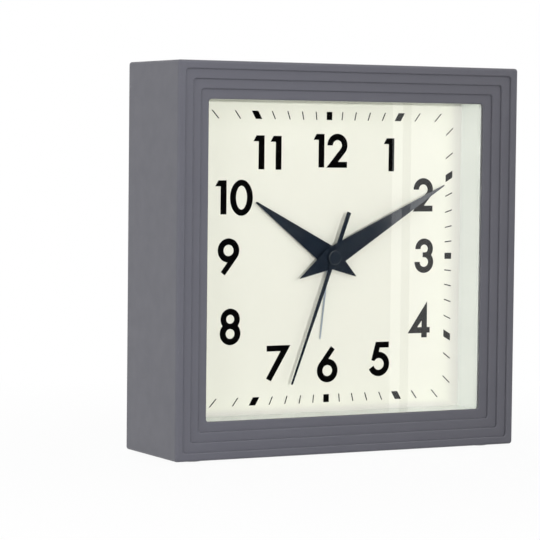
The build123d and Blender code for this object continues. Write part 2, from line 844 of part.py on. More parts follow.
# Alarm work: alarm wheel with its pipe, and the arbor that sets it
with BuildPart() as alarm_wheel:
    alarm_back = alarm_rim + rim_thickness
    extrude(
        disc(alarm_pipe_front, hand_axis, alarm_pipe_radius), amount=alarm_pipe_front - alarm_back
    )
    extrude(wheel_rim(alarm_rim, hand_axis, alarm_teeth, alarm_module), amount=-rim_thickness)
    extrude(
        disc(alarm_pipe_front, hand_axis, hour_pipe_radius + running_clearance),
        amount=alarm_pipe_front - alarm_back,
        mode=Mode.SUBTRACT,
    )
save(alarm_wheel, "alarm_wheel")

with BuildPart() as alarm_arbor:
    extrude(disc(pivot_front, alarm_at, knob_arbor_radius), amount=pivot_front - knob_arbor_back)
    phase = leaf_phase(alarm_leaves, alarm_teeth, alarm_bearing + 180)
    leaves = pinion_rim(alarm_rim - leaf_overhang, alarm_at, alarm_leaves, alarm_module, phase)
    extrude(leaves, amount=-leaf_width)
save(alarm_arbor, "alarm_arbor")

# Washers that turn with the hour wheel and with the setting arbor
with BuildPart() as hour_washer:
    washer_front = hour_rim - (wheel_gap + washer_thickness) / 2
    extrude(disc(washer_front, hand_axis, hour_washer_radius), amount=-washer_thickness)
    extrude(
        disc(washer_front, hand_axis, hour_pipe_radius + running_clearance),
        amount=-washer_thickness,
        mode=Mode.SUBTRACT,
    )
save(hour_washer, "hour_washer")

with BuildPart() as setting_washer:
    washer_front = housing_back + washer_play
    extrude(disc(washer_front, motion_at, setting_washer_radius), amount=-washer_thickness)
    extrude(
        disc(washer_front, motion_at, knob_arbor_radius + running_clearance),
        amount=-washer_thickness,
        mode=Mode.SUBTRACT,
    )
save(setting_washer, "setting_washer")

# Knobs, ridged round the edge, on the ends of the setting and alarm arbors
for label, centre in (("setting_knob", motion_at), ("alarm_knob", alarm_at)):
    ridge_module = 2 * knob_radius / (knob_ridges + 2 * leaf_tip_share)
    with BuildPart() as knob:
        crown_front = knob_back - knob_crown_height
        ridges = pinion_rim(knob_front, centre, knob_ridges, ridge_module, phase=0)
        extrude(ridges, amount=knob_front - crown_front)
        extrude(disc(crown_front, centre, knob_crown_radius), amount=-knob_crown_height)
        fillet(knob.faces().sort_by(Axis.Y)[-1].edges(), knob_edge_radius)
        extrude(
            disc(knob_front, centre, knob_arbor_radius),
            amount=knob_front - knob_arbor_back,
            mode=Mode.SUBTRACT,
        )
    save(knob, label)

# Alarm switch: a block between the rails, with a stem through the slot
with BuildPart() as alarm_switch:
    block_back = chamber_back - end_play
    with BuildSketch(seen_from_front(block_back)):
        with Locations(switch_at):
            Rectangle(switch_width, switch_height)
    extrude(amount=switch_thickness)
    with BuildSketch(seen_from_front(block_back)):
        with Locations(switch_at):
            Rectangle(switch_stem_width, switch_stem_height)
    extrude(amount=-(housing_back + switch_stem_stand - block_back))
save(alarm_switch, "alarm_switch")

# Circuit board with its chip and crystal, and the buzzer
board_front = chamber_front + board_stand
board_back = board_front + board_sheet
with BuildPart() as circuit_board:
    with BuildSketch(seen_from_front(board_front)):
        with Locations(board_at):
            Rectangle(board_width, board_height)
    extrude(amount=-board_sheet)
save(circuit_board, "circuit_board")

with BuildPart() as driver_chip:
    extrude(disc(board_back, chip_at, chip_radius), amount=-chip_height)
    fillet(driver_chip.edges().sort_by(Axis.Y)[-1], chip_height * chip_crown_share)
save(driver_chip, "driver_chip")

with BuildPart() as quartz_crystal:
    crystal_plane = Plane(
        origin=(
            crystal_at[0] - crystal_length / 2,
            board_back + crystal_radius + running_clearance - case_depth / 2,
            axis_height + crystal_at[1],
        ),
        x_dir=(0, 1, 0),
        z_dir=(1, 0, 0),
    )
    with BuildSketch(crystal_plane):
        Circle(crystal_radius)
    extrude(amount=crystal_length)
save(quartz_crystal, "quartz_crystal")

with BuildPart() as buzzer:
    extrude(disc(chamber_front, buzzer_at, buzzer_radius), amount=-buzzer_height)
    extrude(
        disc(chamber_front + buzzer_height, buzzer_at, buzzer_port_radius),
        amount=buzzer_height / 2,
        mode=Mode.SUBTRACT,
    )
save(buzzer, "buzzer")

# Battery and the contacts at the two ends of its bay
battery_left = -(battery_length + terminal_height) / 2
battery_plane = Plane(
    origin=(battery_left, battery_depth - case_depth / 2, axis_height + bay_middle),
    x_dir=(0, 1, 0),
    z_dir=(1, 0, 0),
)
with BuildPart() as battery:
    with BuildSketch(battery_plane):
        Circle(battery_radius)
    extrude(amount=battery_length)
    fillet(battery.edges().filter_by(GeomType.CIRCLE), battery_edge_radius)
    with BuildSketch(battery_plane.offset(battery_length)):
        Circle(terminal_radius)
    extrude(amount=terminal_height)
save(battery, "battery")

bay_wall = bay_width / 2
contact_plane = Plane(
    origin=(0, battery_depth - case_depth / 2, axis_height + bay_middle - contact_height / 2),
    x_dir=(1, 0, 0),
    z_dir=(0, 0, 1),
)
with BuildPart() as positive_contact:
    nub = contact_room - running_clearance
    with BuildSketch(contact_plane):
        with BuildLine():
            Polyline(
                (bay_wall, -contact_width / 2),
                (bay_wall - contact_thickness, -contact_width / 2),
                (bay_wall - contact_thickness, -contact_width / 4),
                (bay_wall - nub, 0),
                (bay_wall - contact_thickness, contact_width / 4),
                (bay_wall - contact_thickness, contact_width / 2),
                (bay_wall, contact_width / 2),
                close=True,
            )
        make_face()
    extrude(amount=contact_height)
save(positive_contact, "positive_contact")

with BuildPart() as negative_contact:
    bow = contact_room - running_clearance
    with BuildSketch(contact_plane):
        with BuildLine():
            Polyline(
                (-bay_wall, -contact_width / 2),
                (-bay_wall + contact_thickness, -contact_width / 2),
                (-bay_wall + contact_thickness, contact_width / 4),
                (-bay_wall + bow, 0),
                (-bay_wall + bow, contact_thickness),
                (-bay_wall + contact_thickness, contact_width / 2),
                (-bay_wall, contact_width / 2),
                close=True,
            )
        make_face()
    extrude(amount=contact_height)
save(negative_contact, "negative_contact")

# Kite hands: a round hub drawn out to a long tip and a short tail
kite_hands = (
    (
        "minute_hand",
        (minute_hand_height, minute_angle),
        (minute_hand_length, minute_tip_radius, minute_tail_length),
        minute_pipe_radius,
    ),
    (
        "hour_hand",
        (hour_hand_height, hour_angle),
        (hour_hand_length, hour_tip_radius, hour_tail_length),
        hour_pipe_radius,
    ),
)
for label, (height, angle), (length, tip_radius, tail), pipe_radius in kite_hands:
    with BuildPart() as kite_hand:
        with BuildSketch(seen_from_front(dial_front - height, angle)):
            Circle(hub_radius)
            with Locations((0, length - tip_radius)):
                Circle(tip_radius)
            with Locations((0, tail_tip_radius - tail)):
                Circle(tail_tip_radius)
            make_hull()
            Circle(pipe_radius, mode=Mode.SUBTRACT)
        extrude(amount=hand_thickness)
    save(kite_hand, label)

# Alarm hand: a round hub and one thin needle
with BuildPart() as alarm_hand:
    with BuildSketch(seen_from_front(dial_front - alarm_hand_height, alarm_angle)):
        Circle(alarm_hand_root_radius)
        with Locations((0, alarm_hand_length - alarm_hand_tip_radius)):
            Circle(alarm_hand_tip_radius)
        make_hull()
        Circle(alarm_hub_radius)
        Circle(alarm_pipe_radius, mode=Mode.SUBTRACT)
    extrude(amount=needle_thickness)
save(alarm_hand, "alarm_hand")

# Second hand: needle, bar tail and a round hub closed in front
with BuildPart() as second_hand:
    blade_back = dial_front - second_hand_height
    with BuildSketch(seen_from_front(blade_back, second_angle)):
        Circle(second_root_radius)
        with Locations((0, second_hand_length - second_tip_radius)):
            Circle(second_tip_radius)
        make_hull()
        with Locations((0, -second_tail_length / 2)):
            Rectangle(second_tail_width, second_tail_length)
    extrude(amount=needle_thickness)
    hub_back = blade_back + second_hub_drop
    extrude(disc(hub_back, hand_axis, second_hub_radius), amount=second_hub_height)
    hub_rim = second_hand.edges().filter_by(GeomType.CIRCLE).sort_by(Axis.Y)[0]
    fillet(hub_rim, second_hub_edge_radius)
    extrude(
        disc(hub_back, hand_axis, second_arbor_radius),
        amount=hub_back - second_arbor_front,
        mode=Mode.SUBTRACT,
    )
save(second_hand, "second_hand")
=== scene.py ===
import functools
import math

import bmesh
import bpy
from mathutils import Matrix, Vector


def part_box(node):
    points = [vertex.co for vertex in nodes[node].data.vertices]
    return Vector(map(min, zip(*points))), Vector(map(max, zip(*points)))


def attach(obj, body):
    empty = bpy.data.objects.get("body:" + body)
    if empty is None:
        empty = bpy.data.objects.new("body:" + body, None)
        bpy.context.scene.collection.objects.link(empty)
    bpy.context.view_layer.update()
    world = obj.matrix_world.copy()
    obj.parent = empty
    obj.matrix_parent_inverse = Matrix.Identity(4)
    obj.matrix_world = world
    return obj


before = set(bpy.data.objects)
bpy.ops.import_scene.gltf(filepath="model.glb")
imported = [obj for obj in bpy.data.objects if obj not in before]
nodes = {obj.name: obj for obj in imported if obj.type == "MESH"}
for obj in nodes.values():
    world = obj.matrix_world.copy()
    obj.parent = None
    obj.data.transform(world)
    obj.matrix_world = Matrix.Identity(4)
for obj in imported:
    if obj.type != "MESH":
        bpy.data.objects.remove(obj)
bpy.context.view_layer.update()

MM = 0.001
WHITE = (1.0, 1.0, 1.0)
BLACK = (0.0, 0.0, 0.0)

# Places taken from the solids, in metres
case_low, case_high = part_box("front_frame")
dial_low, dial_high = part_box("dial_sheet")
AXIS_Z = (dial_low.z + dial_high.z) / 2
DIAL_Y = dial_low.y
GLASS_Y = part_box("glass")[0].y

# The liner stands on the dial's rim, and the dial shows up to the inner face of its wall
LINER_WALL = 4.15 * MM
DIAL_EDGE = dial_high.x - LINER_WALL

# Camera, fitted to the photo's edges
CAMERA_PLACE = Vector((-0.5665, -1.01215, 0.1442))
CAMERA_AZIMUTH = math.radians(-27.96)
CAMERA_ELEVATION = math.radians(2.95)
CAMERA_ROLL = math.radians(0.621)
CAMERA_LENS = 163.97
SENSOR_WIDTH = 36.0


# Materials: each is built from a few node helpers

# Most of a noise texture's values lie between these two
NOISE_LOW, NOISE_HIGH = 0.3, 0.7
NOISE_ROUGHNESS = 0.55
GRAIN_DETAIL = 3.0
GLOSS_FINENESS = 3


def math_node(tree, operation, first, second):
    """One value worked out from two; either may be a plain number."""
    node = tree.nodes.new("ShaderNodeMath")
    node.operation = operation
    for socket, value in zip(node.inputs, (first, second)):
        if isinstance(value, (int, float)):
            socket.default_value = value
        else:
            tree.links.new(value, socket)
    return node.outputs["Value"]


class Shade:
    """One node material with a Principled shader and short ways to add its textures."""

    def __init__(self, name, **sockets):
        self.material = bpy.data.materials.new(name)
        self.material.use_nodes = True
        self.tree = self.material.node_tree
        self.shader = self.tree.nodes["Principled BSDF"]
        self.output = self.tree.nodes["Material Output"]
        for label, value in sockets.items():
            self.shader.inputs[label.replace("_", " ")].default_value = value
        self.place = self.add("ShaderNodeTexCoord").outputs["Object"]

    def add(self, kind, inputs=None, **settings):
        """New node with its settings, and plain values on its inputs."""
        node = self.tree.nodes.new(kind)
        for label, value in settings.items():
            setattr(node, label, value)
        for label, value in (inputs or {}).items():
            node.inputs[label].default_value = value
        return node

    def link(self, start, end):
        self.tree.links.new(start, end)

    def combine(self, operation, first, second):
        return math_node(self.tree, operation, first, second)

    def across(self, axis):
        """One object coordinate."""
        node = self.add("ShaderNodeSeparateXYZ")
        self.link(self.place, node.inputs["Vector"])
        return node.outputs[axis]

    def stretched(self, scale):
        """Object coordinates multiplied per axis."""
        node = self.add("ShaderNodeMapping", {"Scale": scale})
        self.link(self.place, node.inputs["Vector"])
        return node.outputs["Vector"]

    def noise(self, scale, detail=4.0, stretch=None):
        """Noise over the object, with its coordinates multiplied by stretch."""
        values = {"Scale": scale, "Detail": detail, "Roughness": NOISE_ROUGHNESS}
        node = self.add("ShaderNodeTexNoise", values)
        self.link(self.stretched(stretch) if stretch else self.place, node.inputs["Vector"])
        return node.outputs["Fac"]

    def span(self, value, start, end, low=0.0, high=1.0):
        """Value carried from the range start to end into low to high, and held at both ends."""
        values = {"From Min": start, "From Max": end, "To Min": low, "To Max": high}
        node = self.add("ShaderNodeMapRange", values)
        self.link(value, node.inputs["Value"])
        return node.outputs["Result"]

    def ramp(self, value, *stops, stepped=False):
        """Colour by value, blended between the stops, or held from each stop to the next."""
        node = self.add("ShaderNodeValToRGB")
        bar = node.color_ramp
        if stepped:
            bar.interpolation = "CONSTANT"
        while len(bar.elements) < len(stops):
            bar.elements.new(0.5)
        for element, (position, colour) in zip(bar.elements, stops):
            element.position = position
            element.color = (*colour, 1.0)
        self.link(value, node.inputs["Fac"])
        return node.outputs["Color"]

    def colour(self, value, *stops, stepped=False):
        self.link(self.ramp(value, *stops, stepped=stepped), self.shader.inputs["Base Color"])

    def tinted(self, value, *stops):
        """Base colour multiplied by a second ramp."""
        base = self.shader.inputs["Base Color"]
        node = self.add("ShaderNodeMix", {"Factor": 1.0}, data_type="RGBA", blend_type="MULTIPLY")
        self.link(base.links[0].from_socket, node.inputs["A"])
        self.link(self.ramp(value, *stops), node.inputs["B"])
        self.link(node.outputs["Result"], base)

    def rough(self, value, low, high):
        self.link(self.span(value, NOISE_LOW, NOISE_HIGH, low, high), self.shader.inputs["Roughness"])

    def bump(self, value, strength, depth):
        node = self.add("ShaderNodeBump", {"Strength": strength, "Distance": depth})
        self.link(value, node.inputs["Height"])
        self.link(node.outputs["Normal"], self.shader.inputs["Normal"])


def varied(name, low, high, drift, rough, grain, strength, depth, stretch=None, **sockets):
    """Material whose colour drifts between two tones, with fine grain in its surface.

    drift and grain are noise scales, rough is the range of the roughness, and strength and depth
    are the grain's bump.
    """
    shade = Shade(name, **sockets)
    shade.colour(shade.noise(drift, stretch=stretch), (NOISE_LOW, low), (NOISE_HIGH, high))
    shade.rough(shade.noise(drift * GLOSS_FINENESS, stretch=stretch), *rough)
    shade.bump(shade.noise(grain, detail=GRAIN_DETAIL, stretch=stretch), strength, depth)
    return shade


# Painted shade on the case paint: its tint at the right edge, darker and warmer
RIGHT_PAINTED_SHADE = (0.85, 0.84, 0.82)


def satin_paint():
    """Grey case paint, with painted shade: a little darker and warmer towards the right."""
    shade = varied(
        "case_paint", (0.1180, 0.1190, 0.1430), (0.1240, 0.1250, 0.1490), drift=45, rough=(0.42, 0.5),
        grain=1400, strength=0.12, depth=0.05 * MM, Specular_IOR_Level=0.62,
    )
    # Painted shade: the paint darkens and warms from the left edge to the right edge
    across_case = shade.span(shade.across("X"), case_low.x, case_high.x)
    shade.tinted(across_case, (0.0, WHITE), (1.0, RIGHT_PAINTED_SHADE))
    return shade


# Painted shade along the dial's border, darkening towards the liner: its start and end, from the liner
# inwards
SIDE_SHADE_BAND = (8.8 * MM, 0.8 * MM)
FOOT_SHADE_BAND = (4.5 * MM, 0.0)
SHADE_BAND_TINTS = (
    (0.0, WHITE),
    (0.3, (0.965, 0.960, 0.970)),
    (0.6, (0.885, 0.875, 0.905)),
    (1.0, (0.800, 0.790, 0.830)),
)


def cream_paper():
    """Dial paper, with painted shade in a narrow border at its sides and its foot."""
    shade = varied(
        "dial_paper", (0.842, 0.841, 0.743), (0.855, 0.854, 0.755), drift=80, rough=(0.7, 0.8),
        grain=1100, strength=0.03, depth=0.02 * MM,
    )

    def border(distance, start, end):
        return shade.span(distance, DIAL_EDGE - start, DIAL_EDGE - end)

    # Painted shade: the paper darkens towards the liner at both sides and at the foot
    beside = shade.combine("ABSOLUTE", shade.across("X"), 0.0)
    below = shade.combine("SUBTRACT", AXIS_Z, shade.across("Z"))
    edge = shade.combine("MAXIMUM", border(beside, *SIDE_SHADE_BAND), border(below, *FOOT_SHADE_BAND))
    shade.tinted(edge, *SHADE_BAND_TINTS)
    return shade


def grained_wood():
    """Bare wood: rings drawn out along the blocks, with fine pores."""
    dark, pale = (0.40, 0.25, 0.12), (0.56, 0.39, 0.21)
    run = (6, 0.6, 6)
    shade = Shade("plain_wood")
    rings = shade.noise(scale=14, detail=6.0, stretch=run)
    shade.colour(rings, (0.35, dark), (0.5, pale), (0.65, dark))
    shade.rough(shade.noise(scale=60, stretch=run), low=0.6, high=0.75)
    shade.bump(shade.noise(scale=240, stretch=run), strength=0.3, depth=0.1 * MM)
    return shade


# Bands of the battery's sleeve are laid out over its length and this much more at each end
SLEEVE_OVERRUN = 0.05 * MM


def battery_sleeve():
    """Battery: plain dark film with a pale band, bare metal at both ends."""
    film, band, steel = (0.030, 0.034, 0.042), (0.42, 0.43, 0.45), (0.6, 0.6, 0.6)
    film_start, band_start, band_end, film_end = 0.012, 0.70, 0.735, 0.955
    shade = Shade("battery_can")
    low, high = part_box("battery")
    lengthwise = shade.span(shade.across("X"), low.x - SLEEVE_OVERRUN, high.x + SLEEVE_OVERRUN)
    shade.colour(
        lengthwise,
        (0.0, steel), (film_start, film), (band_start, band), (band_end, film), (film_end, steel),
        stepped=True,
    )
    metal = shade.ramp(
        lengthwise, (0.0, WHITE), (film_start, BLACK), (film_end, WHITE), stepped=True
    )
    shade.link(metal, shade.shader.inputs["Metallic"])
    shade.rough(shade.noise(scale=200), low=0.25, high=0.36)
    shade.bump(shade.noise(scale=300, stretch=(0.3, 1, 1)), strength=0.08, depth=0.1 * MM)
    return shade


GLASS_INDEX = 1.5


def clear_glass():
    """Flat glass: see-through, with the same mirror reflection at its front and back face."""
    shade = Shade("glass")
    clear = shade.add("ShaderNodeBsdfTransparent", {"Color": (*WHITE, 1.0)})
    mirror = shade.add("ShaderNodeBsdfGlossy", {"Roughness": 0.0})
    facing = shade.add("ShaderNodeNewGeometry")
    inward = {1: 1 / GLASS_INDEX - GLASS_INDEX, 2: GLASS_INDEX}
    index = shade.add("ShaderNodeMath", inward, operation="MULTIPLY_ADD")
    shade.link(facing.outputs["Backfacing"], index.inputs[0])
    edge = shade.add("ShaderNodeFresnel")
    shade.link(index.outputs["Value"], edge.inputs["IOR"])
    mix = shade.add("ShaderNodeMixShader")
    shade.link(edge.outputs["Fac"], mix.inputs["Fac"])
    shade.link(clear.outputs["BSDF"], mix.inputs[1])
    shade.link(mirror.outputs["BSDF"], mix.inputs[2])
    shade.link(mix.outputs["Shader"], shade.output.inputs["Surface"])
    shade.tree.nodes.remove(shade.shader)
    return shade


case_paint = satin_paint()
dial_paper = cream_paper()
plain_wood = grained_wood()
battery_can = battery_sleeve()
glass = clear_glass()
felt = varied(
    "felt", (0.02, 0.02, 0.022), (0.06, 0.06, 0.064), drift=1800, rough=(0.9, 1.0),
    grain=2600, strength=0.8, depth=0.3 * MM, Sheen_Weight=0.6,
)
white_liner = varied(
    "white_liner", (0.885, 0.925, 0.885), (0.90, 0.935, 0.90), drift=60, rough=(0.28, 0.36),
    grain=1500, strength=0.04, depth=0.02 * MM,
)
fibreboard = varied(
    "fibreboard", (0.17, 0.115, 0.07), (0.25, 0.17, 0.10), drift=900, rough=(0.75, 0.9),
    grain=1600, strength=0.35, depth=0.1 * MM,
)
screw_steel = varied(
    "screw_steel", (0.55, 0.55, 0.56), (0.68, 0.68, 0.67), drift=400, rough=(0.28, 0.42),
    grain=2500, strength=0.1, depth=0.03 * MM, Metallic=1.0,
)
black_plastic = varied(
    "black_plastic", (0.016, 0.016, 0.018), (0.024, 0.024, 0.026), drift=90, rough=(0.45, 0.58),
    grain=2800, strength=0.4, depth=0.06 * MM,
)
electrical_steel = varied(
    "electrical_steel", (0.36, 0.36, 0.38), (0.46, 0.46, 0.47), drift=300, rough=(0.35, 0.5),
    grain=1800, strength=0.15, depth=0.03 * MM, Metallic=1.0,
)
copper_wire = varied(
    "copper_wire", (0.42, 0.13, 0.05), (0.6, 0.21, 0.08), drift=120, rough=(0.25, 0.38),
    grain=9, strength=0.9, depth=0.1 * MM, stretch=(900, 1, 1), Metallic=1.0,
)
rotor_magnet = varied(
    "rotor_magnet", (0.10, 0.10, 0.11), (0.16, 0.16, 0.17), drift=500, rough=(0.35, 0.5),
    grain=2200, strength=0.2, depth=0.03 * MM, Metallic=0.8,
)
white_plastic = varied(
    "white_plastic", (0.70, 0.69, 0.64), (0.78, 0.77, 0.72), drift=120, rough=(0.35, 0.5),
    grain=2400, strength=0.15, depth=0.04 * MM,
)
brass = varied(
    "brass", (0.55, 0.38, 0.13), (0.66, 0.48, 0.19), drift=350, rough=(0.2, 0.34),
    grain=1500, strength=0.12, depth=0.03 * MM, Metallic=1.0,
)
knob_plastic = varied(
    "knob_plastic", (0.024, 0.024, 0.026), (0.034, 0.034, 0.036), drift=150, rough=(0.38, 0.5),
    grain=2600, strength=0.3, depth=0.05 * MM,
)
switch_plastic = varied(
    "switch_plastic", (0.5, 0.03, 0.02), (0.6, 0.045, 0.03), drift=150, rough=(0.35, 0.48),
    grain=2600, strength=0.2, depth=0.04 * MM,
)
circuit_green = varied(
    "circuit_board", (0.02, 0.15, 0.05), (0.035, 0.2, 0.075), drift=300, rough=(0.3, 0.45),
    grain=1200, strength=0.15, depth=0.04 * MM,
)
contact_steel = varied(
    "contact_steel", (0.6, 0.6, 0.57), (0.72, 0.71, 0.68), drift=500, rough=(0.22, 0.36),
    grain=2200, strength=0.1, depth=0.03 * MM, Metallic=1.0,
)
hand_paint = varied(
    "hand_paint", (0.014, 0.021, 0.0325), (0.017, 0.0245, 0.0365), drift=90, rough=(0.04, 0.06),
    grain=1800, strength=0.01, depth=0.01 * MM, Specular_IOR_Level=1.0, IOR=1.7,
)
alarm_hand_paint = varied(
    "alarm_hand_paint", (0.42, 0.48, 0.56), (0.5, 0.56, 0.64), drift=150, rough=(0.3, 0.42),
    grain=1800, strength=0.1, depth=0.03 * MM, Metallic=0.4,
)
dial_ink = varied(
    "dial_ink", (0.0010, 0.0010, 0.0010), (0.0022, 0.0022, 0.0022), drift=300, rough=(0.55, 0.7),
    grain=2600, strength=0.1, depth=0.02 * MM, Specular_IOR_Level=0.04,
)

finishes = {
    case_paint: ("front_frame", "left_side", "right_side", "base_board", "top_board"),
    felt: ("felt_pads",),
    glass: ("glass",),
    white_liner: ("dial_liner",),
    dial_paper: ("dial_sheet",),
    fibreboard: ("dial_plate", "back_panel"),
    plain_wood: ("corner_blocks",),
    screw_steel: ("back_screws", "movement_screws", "quartz_crystal"),
    black_plastic: (
        "movement_front_housing", "movement_rear_housing", "train_bridge", "driver_chip", "buzzer",
    ),
    electrical_steel: ("stator",),
    copper_wire: ("coil",),
    rotor_magnet: ("rotor",),
    white_plastic: (
        "intermediate_wheel", "second_wheel", "third_wheel", "centre_wheel", "motion_wheel",
        "hour_wheel", "alarm_wheel", "alarm_arbor",
    ),
    brass: ("minute_pipe", "hour_washer", "setting_washer"),
    knob_plastic: ("setting_knob", "alarm_knob"),
    switch_plastic: ("alarm_switch",),
    circuit_green: ("circuit_board",),
    battery_can: ("battery",),
    contact_steel: ("positive_contact", "negative_contact"),
    hand_paint: ("minute_hand", "hour_hand", "second_hand"),
    alarm_hand_paint: ("alarm_hand",),
}
for shade, names in finishes.items():
    for name in names:
        for holder in nodes[name].material_slots:
            holder.material = shade.material


# Dial print: outlines in millimetres from the dial's centre, x to the right and y up


def arc(centre, radius, start, end, steps=40):
    """Points round a circle from one angle to another, degrees anticlockwise from the right."""
    turns = [math.radians(start + (end - start) * i / steps) for i in range(steps + 1)]
    return [(centre[0] + radius * math.cos(t), centre[1] + radius * math.sin(t)) for t in turns]


def ring(centre, wide, high=None, steps=64):
    """Closed round or oval outline."""
    turns = [math.tau * i / steps for i in range(steps)]
    high = high or wide
    return [(centre[0] + wide * math.cos(t), centre[1] + high * math.sin(t)) for t in turns]


def along(point, angle, distance):
    """Point at a distance from another, at an angle in degrees anticlockwise from the right."""
    turn = math.radians(angle)
    return (point[0] + distance * math.cos(turn), point[1] + distance * math.sin(turn))


def meeting(low, low_radius, high, high_radius):
    """Angles, seen from two stacked circles, of the point on the right where they cross."""
    gap = high[1] - low[1]
    rise = (gap**2 + low_radius**2 - high_radius**2) / (2 * gap)
    reach = math.sqrt(low_radius**2 - rise**2)
    return math.degrees(math.atan2(rise, reach)), math.degrees(math.atan2(rise - gap, reach))


def figure_one():
    top, foot = 7.75, -7.75
    stem_left, stem_right = 0.0, 2.85
    flag_left, flag_root, flag_foot = -2.7, -1.2, 5.2
    return [
        [
            (flag_left, flag_foot), (flag_root, top), (stem_right, top), (stem_right, foot),
            (stem_left, foot), (stem_left, flag_foot),
        ]
    ]


def figure_two():
    bowl, outer, inner = (0.2, 2.75), 5.3, 2.52
    bar_right, bar_top, foot = 5.4, -5.15, -7.75
    slant = 229.3
    leave = slant + 90 - 360

    def slide(point, level):
        """Point moved down the slant to a level."""
        return (point[0] + (level - point[1]) / math.tan(math.radians(slant)), level)

    heel = slide(along(bowl, leave, outer), bar_top)
    toe = slide(along(bowl, leave, inner), foot)
    return [
        arc(bowl, outer, 180, leave) + [heel, (bar_right, bar_top), (bar_right, foot), toe]
        + arc(bowl, inner, leave, 180)
    ]


def figure_three():
    high, high_outer, high_inner = (0.2, 3.48), 4.82, 2.14
    low, low_outer, low_inner = (0.15, -2.9), 5.14, 2.44
    bar_top, bar_foot, bar_end = 1.65, -0.5, -0.48
    low_waist, high_waist = meeting(low, low_outer, high, high_outer)
    high_bar = math.degrees(math.asin((bar_top - high[1]) / high_inner))
    low_bar = math.degrees(math.asin((bar_foot - low[1]) / low_inner))
    return [
        arc(high, high_outer, 180, high_waist) + arc(low, low_outer, low_waist, -180)
        + arc(low, low_inner, -180, low_bar) + [(bar_end, bar_foot), (bar_end, bar_top)]
        + arc(high, high_inner, high_bar, 180)
    ]


def figure_four():
    stem_left, stem_right, foot = 1.4, 4.27, -8.5
    bar_right, bar_top, bar_foot = 5.9, -3.75, -6.25
    apex, toe = (4.25, 8.6), (-6.2, -6.35)
    outside = [
        apex, (stem_right, bar_top), (bar_right, bar_top), (bar_right, bar_foot),
        (stem_right, bar_foot), (stem_right, foot), (stem_left, foot), (stem_left, toe[1]), toe,
    ]
    hole = [(1.48, -0.2), (1.48, -3.73), (-1.3, -3.73)]
    return [outside, hole]


def figure_five():
    bowl, outer, inner = (0.0, -2.4), 5.73, 2.9
    flag_left, flag_right, flag_top, flag_foot = -1.65, 5.45, 8.1, 5.5
    neck_top, neck_foot, heel = (0.5, flag_foot), (-0.1, 3.33), (-3.95, -0.4)
    flag = [(flag_left, flag_top), (flag_right, flag_top), (flag_right, flag_foot)]
    return [
        flag + [neck_top, neck_foot] + arc(bowl, outer, 90, -155) + arc(bowl, inner, -163, 148) + [heel]
    ]


def figure_six():
    bowl, outer, inner = (0.08, -2.9), 5.49, 2.7
    tip, heel = (1.95, 8.5), (3.85, 7.0)
    slant = 232.4
    reach = (heel[0] - bowl[0], heel[1] - bowl[1])
    step = along((0.0, 0.0), slant, 1.0)
    slope = reach[0] * step[0] + reach[1] * step[1]
    run = -slope - math.sqrt(slope**2 - reach[0] ** 2 - reach[1] ** 2 + outer**2)
    joint = along(heel, slant, run)
    start = math.degrees(math.atan2(joint[1] - bowl[1], joint[0] - bowl[0]))
    return [[tip, heel] + arc(bowl, outer, start, slant - 90 - 360), ring(bowl, inner)]


def figure_seven():
    bar_left, bar_right, bar_top, bar_foot = -5.95, 6.35, 8.2, 5.68
    toe_right, toe_left, crook = (-3.7, -8.25), (-6.1, -7.05), 1.45
    return [
        [
            (bar_left, bar_top), (bar_right, bar_top), toe_right, toe_left, (crook, bar_foot),
            (bar_left, bar_foot),
        ]
    ]


def figure_eight():
    high, high_outer, high_inner, high_hole = (0.0, 3.58), 4.9, 2.16, 3.64
    low, low_outer, low_inner, low_hole = (0.0, -3.02), 5.25, 2.38, -3.16
    low_waist, high_waist = meeting(low, low_outer, high, high_outer)
    return [
        arc(high, high_outer, 180 - high_waist, high_waist, steps=60)
        + arc(low, low_outer, low_waist, -180 - low_waist, steps=60),
        ring((high[0], high_hole), high_inner),
        ring((low[0], low_hole), low_inner),
    ]


def figure_nine():
    return [[(-x, -y) for x, y in outline] for outline in figure_six()]


def figure_zero():
    return [ring((0.0, 0.0), wide=5.82, high=8.25), ring((0.0, 0.05), wide=2.95, high=5.6)]


FIGURES = {
    1: [(figure_one, (32.55, 48.3))],
    2: [(figure_two, (51.8, 29.1))],
    3: [(figure_three, (52.75, -0.15))],
    4: [(figure_four, (50.7, -30.8))],
    5: [(figure_five, (28.4, -49.05))],
    6: [(figure_six, (0.25, -50.75))],
    7: [(figure_seven, (-26.1, -49.3))],
    8: [(figure_eight, (-51.35, -31.8))],
    9: [(figure_nine, (-52.5, 0.75))],
    10: [(figure_one, (-56.85, 28.1)), (figure_zero, (-46.15, 27.95))],
    11: [(figure_one, (-37.35, 48.95)), (figure_one, (-28.4, 48.8))],
    12: [(figure_one, (-5.6, 49.95)), (figure_two, (4.2, 49.85))],
}

INK_DEPTH = 0.03
INK_SPREAD = 0.11
CORNER_LIMIT = 0.5


def swollen(outline, amount):
    """Outline moved outwards by an amount, or inwards by a negative one."""
    corners = list(zip(outline[-1:] + outline[:-1], outline, outline[1:] + outline[:1]))
    area = sum(a[0] * b[1] - b[0] * a[1] for a, b, _ in corners)
    reach = math.copysign(amount, area * amount)
    moved = []
    for before, here, after in corners:
        arrive = Vector((here[0] - before[0], here[1] - before[1])).normalized()
        leave = Vector((after[0] - here[0], after[1] - here[1])).normalized()
        middle = (arrive + leave).normalized()
        push = reach / max(CORNER_LIMIT, middle.dot(arrive))
        moved.append((here[0] + middle.y * push, here[1] - middle.x * push))
    return moved


